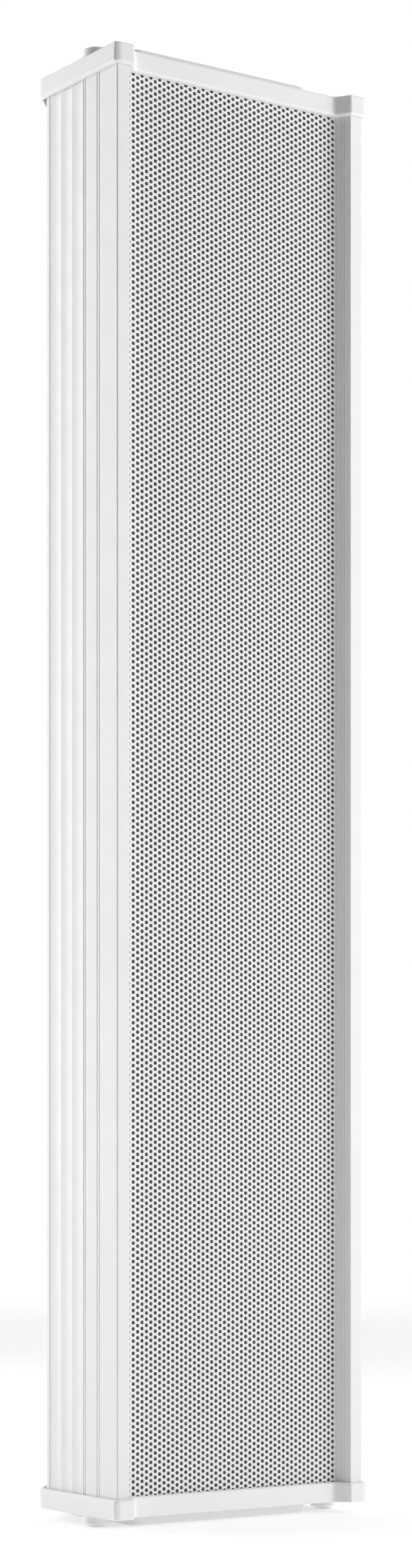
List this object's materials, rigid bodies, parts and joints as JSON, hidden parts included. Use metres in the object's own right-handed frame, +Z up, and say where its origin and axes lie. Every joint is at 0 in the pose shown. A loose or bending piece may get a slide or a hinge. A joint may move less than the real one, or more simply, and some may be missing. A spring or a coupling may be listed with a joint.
{
  "type": "column loudspeaker",
  "caption": "Slim upright column loudspeaker with a perforated front grille, moulded end caps and fluted sides.",
  "frame": {"origin": "on the floor, under the middle of the bottom cap's foot, midway between the cabinet's front and back", "axes": "+Z up along the column, the grille faces -Y, +X to the right seen from the front"},
  "size_m": [0.1542, 0.1278, 0.7283],
  "materials": {
    "white_powder_coat": "satin powder coat",
    "white_plastic": "fine moulded matt",
    "grille_white": "satin powder coat",
    "grille_cloth": "open weave",
    "plain_aluminium": "mill finish",
    "black_foam": "closed cell",
    "zinc_steel": "zinc plated",
    "black_steel": "satin black",
    "ferrite": "ground ferrite",
    "paper_cone": "pressed paper pulp",
    "copper_winding": "enamelled copper on a paper former",
    "black_rubber": "matt",
    "spider_cloth": "resin treated cloth",
    "silk_dome": "coated silk",
    "black_plastic": "moulded",
    "grey_plastic": "moulded",
    "green_plastic": "moulded",
    "core_steel": "varnished laminations",
    "winding_tape": "tape over copper",
    "board_green": "solder mask",
    "capacitor_film": "film sleeve",
    "wadding": "polyester fibre"
  },
  "bodies": {
    "cabinet": {"cabinet_extrusion": "white_powder_coat", "top_cap": "white_plastic", "bottom_cap": "white_plastic", "top_cap_gasket": "black_foam", "bottom_cap_gasket": "black_foam", "cap_screws": "zinc_steel", "front_grille": "grille_white", "grille_cloth": "grille_cloth", "front_baffle": "plain_aluminium", "driver_screws": "zinc_steel", "driver_1_basket": "black_steel", "driver_1_magnet": "ferrite", "driver_1_steel": "zinc_steel", "driver_1_surround": "black_rubber", "driver_1_spider": "spider_cloth", "driver_2_basket": "black_steel", "driver_2_magnet": "ferrite", "driver_2_steel": "zinc_steel", "driver_2_surround": "black_rubber", "driver_2_spider": "spider_cloth", "driver_3_basket": "black_steel", "driver_3_magnet": "ferrite", "driver_3_steel": "zinc_steel", "driver_3_surround": "black_rubber", "driver_3_spider": "spider_cloth", "driver_4_basket": "black_steel", "driver_4_magnet": "ferrite", "driver_4_steel": "zinc_steel", "driver_4_surround": "black_rubber", "driver_4_spider": "spider_cloth", "tweeter_faceplate": "black_plastic", "tweeter_magnet": "ferrite", "tweeter_steel": "zinc_steel", "tweeter_surround": "black_rubber", "rear_cover_gasket": "black_foam", "rear_cover": "white_powder_coat", "rear_cover_screws": "zinc_steel", "gland_body": "grey_plastic", "gland_locknut": "grey_plastic", "gland_seal": "black_rubber", "gland_nut": "grey_plastic", "terminal_block": "green_plastic", "bracket_inserts": "zinc_steel", "transformer_core": "core_steel", "transformer_winding": "winding_tape", "transformer_bracket": "zinc_steel", "crossover_board": "board_green", "crossover_capacitor": "capacitor_film", "damping_pad": "wadding"},
    "cone_1": {"driver_1_cone": "paper_cone", "driver_1_voice_coil": "copper_winding"},
    "cone_2": {"driver_2_cone": "paper_cone", "driver_2_voice_coil": "copper_winding"},
    "cone_3": {"driver_3_cone": "paper_cone", "driver_3_voice_coil": "copper_winding"},
    "cone_4": {"driver_4_cone": "paper_cone", "driver_4_voice_coil": "copper_winding"},
    "dome": {"tweeter_dome": "silk_dome"}
  },
  "joints": [
    {"name": "cone_1_travel", "type": "slide", "parent": "cabinet", "child": "cone_1", "axis": [0, -1, 0], "range_m": [-0.003, 0.003], "stiffness_N_per_m": 1500, "deforming": ["driver_1_surround", "driver_1_spider"]},
    {"name": "cone_2_travel", "type": "slide", "parent": "cabinet", "child": "cone_2", "axis": [0, -1, 0], "range_m": [-0.003, 0.003], "stiffness_N_per_m": 1500, "deforming": ["driver_2_surround", "driver_2_spider"]},
    {"name": "cone_3_travel", "type": "slide", "parent": "cabinet", "child": "cone_3", "axis": [0, -1, 0], "range_m": [-0.003, 0.003], "stiffness_N_per_m": 1500, "deforming": ["driver_3_surround", "driver_3_spider"]},
    {"name": "cone_4_travel", "type": "slide", "parent": "cabinet", "child": "cone_4", "axis": [0, -1, 0], "range_m": [-0.003, 0.003], "stiffness_N_per_m": 1500, "deforming": ["driver_4_surround", "driver_4_spider"]},
    {"name": "dome_travel", "type": "slide", "parent": "cabinet", "child": "dome", "axis": [0, -1, 0], "range_m": [-0.0004, 0.0004], "stiffness_N_per_m": 1500, "deforming": ["tweeter_surround"]}
  ]
}
